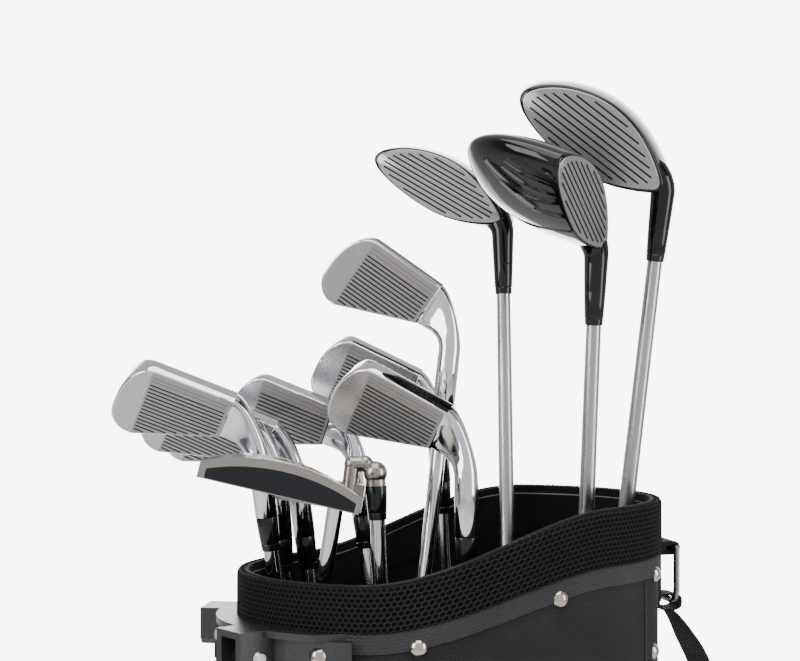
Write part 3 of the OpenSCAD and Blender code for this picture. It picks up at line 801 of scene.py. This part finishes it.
def zip_pull(name, mid, along_zip):
    """A slider block and the tab that hangs from it."""
    across = unit(along_zip)
    out = unit(np.cross(across, [0, 0, 1.0]))
    verts, faces = [], []
    for half, low, high, near, far in ((3, -4, 4, 0.5, 3.6), (4, -18, -3, 2.4, 3.6)):
        k = len(verts)
        verts += [mid + x * across + y * out + np.array([0, 0, z])
                  for x in (-half, half) for y in (near, far) for z in (low, high)]
        quads = ((0, 1, 3, 2), (4, 6, 7, 5), (0, 4, 5, 1), (2, 3, 7, 6), (1, 5, 7, 3), (0, 2, 6, 4))
        faces += [tuple(k + q for q in quad) for quad in quads]
    pull = add(name + "_pull", verts, faces, "nickel", "bag", smooth=False)
    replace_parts(pull, "zip_pulls")


def strap_x(z):
    """How far out the strap hangs at a height."""
    part = (STRAP_TOP - z) / (STRAP_TOP - STRAP_LOW)
    return RING_X + STRAP_BULGE * math.sin(math.pi * part ** 0.8) - 8 * part


def strap():
    """Ribbed webbing from the ring down to the bag, its pad, and the loop round the ring's lower bar."""
    rows, ribs, half_t = 120, 13, 1.3
    zs = [STRAP_TOP + (STRAP_LOW - STRAP_TOP) * i / rows for i in range(rows + 1)]
    loops = []
    for i, z in enumerate(zs):
        half = 19.0 if i > 6 else 8 + 11 * i / 6
        x = strap_x(z)
        front, rear = [], []
        for k in range(ribs * 2 + 1):
            y = -half + 2 * half * k / (ribs * 2)
            rib = 0.35 if k % 2 else 0.0
            front.append((x + half_t + rib - 0.25, y, z))
            rear.append((x - half_t - rib + 0.25, y, z))
        loops.append(front + rear[::-1])
    verts, faces = loft(loops)
    webbing = add("strap_webbing", verts, faces, "webbing", "bag", sharp=50)
    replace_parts(webbing, "shoulder_strap")
    strap_pad()
    strap_end_loop()


def strap_pad():
    """A soft pad on the strap's inner side."""
    z_hi, z_lo = (STRAP_TOP + (STRAP_LOW - STRAP_TOP) * k / 24 for k in (7, 17))
    loops = []
    for i in range(61):
        q = i / 60
        z = z_hi + (z_lo - z_hi) * q
        fat = min(1, math.sin(math.pi * q) * 3) ** 0.5 if 0 < q < 1 else 0.05
        x = strap_x(z)
        loop = []
        for k in range(40):
            a = 2 * math.pi * k / 40
            y = 29 * power(math.cos(a), 0.4) * (0.86 + 0.14 * fat)
            d = -3.9 + 5.0 * power(math.sin(a), 0.7) * (0.3 + 0.7 * fat) + 0.35 * math.sin(z / 2.2)
            loop.append((x + d, y, z))
        loops.append(loop)
    verts, faces = loft(loops)
    add("strap_pad", verts, faces, "pad", "bag", sharp=70)


def strap_end_loop():
    half_w, mid_z = 7.5, 796.2
    loops = []
    for k in range(40):
        a = 2 * math.pi * k / 40
        px, pz = 8.4 * power(math.cos(a), 0.7), 5.6 * power(math.sin(a), 0.7)
        qx, qz = px * 0.84, pz * 0.78
        loops.append([(RING_X + px, -half_w, mid_z + pz), (RING_X + px, half_w, mid_z + pz),
                      (RING_X + qx, half_w, mid_z + qz), (RING_X + qx, -half_w, mid_z + qz)])
    loops.append(loops[0])
    verts, faces = loft(loops, False)
    add("strap_end_loop", verts, faces, "webbing", "bag", sharp=40)


def handle():
    """A padded carry handle: a curve through listed points, thick in its middle half."""
    bag_x, mid_z = 130.3, 610
    lower = [(3, -68), (12, -66), (28, -52), (36, -38), (38, -22)]
    pts = lower + [(38, 0)] + [(x, -z) for x, z in lower[::-1]]
    pts = [(bag_x + x, mid_z + z) for x, z in pts]
    path = []
    for i in range(len(pts) - 1):
        p0, p1, p2, p3 = pts[max(i - 1, 0)], pts[i], pts[i + 1], pts[min(i + 2, len(pts) - 1)]
        for k in range(6):
            u = k / 6
            path.append([0.5 * ((2 * b) + (-a + c) * u + (2 * a - 5 * b + 4 * c - d) * u ** 2
                                + (-a + 3 * b - 3 * c + d) * u ** 3)
                         for a, b, c, d in zip(p0, p1, p2, p3)])
    path.append(pts[-1])
    loops = []
    for i, (x, z) in enumerate(path):
        q = i / (len(path) - 1)
        fat = 1.0 if 0.25 < q < 0.75 else 0.55
        before, after = path[max(i - 1, 0)], path[min(i + 1, len(path) - 1)]
        tx, tz = unit(np.array([after[0] - before[0], after[1] - before[1]]))
        loop = []
        for k in range(32):
            a = 2 * math.pi * k / 32
            y = 12.6 * power(math.cos(a), 0.5)
            d = 4.6 * fat * power(math.sin(a), 0.8) + 0.15 * math.sin(i * 1.9)
            loop.append((x + d * tz, y, z - d * tx))
        loops.append(loop)
    verts, faces = loft(loops)
    padded = add("handle_padded", verts, faces, "pad", "bag", sharp=60)
    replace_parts(padded, "carry_handle")


collar()
shell()
tape()
pocket("apparel_pocket", 48, 128, 42, 130, 640)
pocket("ball_pocket", -128, -50, 48, 110, 330)
pocket("accessory_pocket", -124, -56, 34, 390, 640)
strap()
handle()

# the hard parts keep their CAD shape, with better finishes
for node, mat in {
    "top_frame": "lining", "base_cup": "base", "base_foot": "base", "leg_bracket": "bracket",
    "hinge_pins": "steel", "left_leg": "leg", "right_leg": "leg", "left_shoe": "rubber",
    "right_shoe": "rubber", "stand_runner": "bracket", "left_strut": "steel", "right_strut": "steel",
    "rivets": "nickel", "strap_ring": "dark_nickel", "strap_loops": "webbing",
}.items():
    refinish(node, mat, sharp=35)


# ---------- stage ----------
def from_view(x, y, z):
    """From axes along the camera's view (x right, y away) to the bag's, in metres."""
    return (VIEW_COS * x + VIEW_SIN * y, -VIEW_SIN * x + VIEW_COS * y, z)


def floor(size, color):
    bpy.ops.mesh.primitive_plane_add(size=size, location=(0, 0, -0.0005))
    ob = bpy.context.object
    ob.name = "floor"
    ob.data.materials.append(new_mat("floor", color, 0.7)[0])


def studio_world(strength):
    """White straight behind the set, dark round it and softly lit behind the camera, by direction alone."""
    world = bpy.data.worlds.new("studio")
    bpy.context.scene.world = world
    world.use_nodes = True
    tree = world.node_tree
    tc = tree.nodes.new("ShaderNodeTexCoord")
    dot = tree.nodes.new("ShaderNodeVectorMath")
    dot.operation = "DOT_PRODUCT"
    dot.inputs[1].default_value = (VIEW_SIN, VIEW_COS, 0.0)
    tree.links.new(tc.outputs["Generated"], dot.inputs[0])
    facing = maths(tree, "ADD", maths(tree, "MULTIPLY", dot.outputs["Value"], 0.5), 0.5)
    sky = ramp(tree, facing, [
        (0.0, (0.13, 0.13, 0.135)), (0.2, (0.15, 0.15, 0.155)), (0.34, (0.02, 0.02, 0.022)),
        (0.5, (0.035, 0.035, 0.037)), (0.62, (0.09, 0.09, 0.092)), (0.9, (0.1, 0.1, 0.1)),
        (0.953, (0.5, 0.5, 0.5)), (0.97, (1, 1, 1)), (1.0, (1, 1, 1)),
    ])
    background = tree.nodes["Background"]
    tree.links.new(sky, background.inputs["Color"])
    background.inputs["Strength"].default_value = strength


def area(name, loc, size, power_w, size_y=None):
    """A soft light at a place in the view's axes, aimed at the clubs."""
    light = bpy.data.lights.new(name, "AREA")
    light.energy = power_w
    light.size = size
    if size_y:
        light.shape = "RECTANGLE"
        light.size_y = size_y
    ob = bpy.data.objects.new(name, light)
    bpy.context.scene.collection.objects.link(ob)
    ob.location = from_view(*loc)
    aim = np.array((0, 0, 0.95)) - np.array(from_view(*loc))
    ob.rotation_euler = Vector(unit(aim)).to_track_quat("-Z", "Y").to_euler()


def camera():
    cam = bpy.data.cameras.new("camera")
    cam.sensor_width = 36
    cam.lens = 71.595
    ob = bpy.data.objects.new("camera", cam)
    bpy.context.scene.collection.objects.link(ob)
    ob.location = from_view(-0.033, -1.0, 0.972)
    ob.rotation_euler = (math.pi / 2, 0, -VIEW_TURN)
    bpy.context.scene.camera = ob


floor(5.0, (0.82, 0.82, 0.82))
studio_world(8.0)
area("key_left", (-1.5, -0.9, 1.5), 0.9, 30, 1.4)
area("fill_right", (1.6, -0.7, 1.2), 0.7, 22, 1.5)
area("top_soft", (0, -0.3, 2.3), 1.4, 26)
camera()
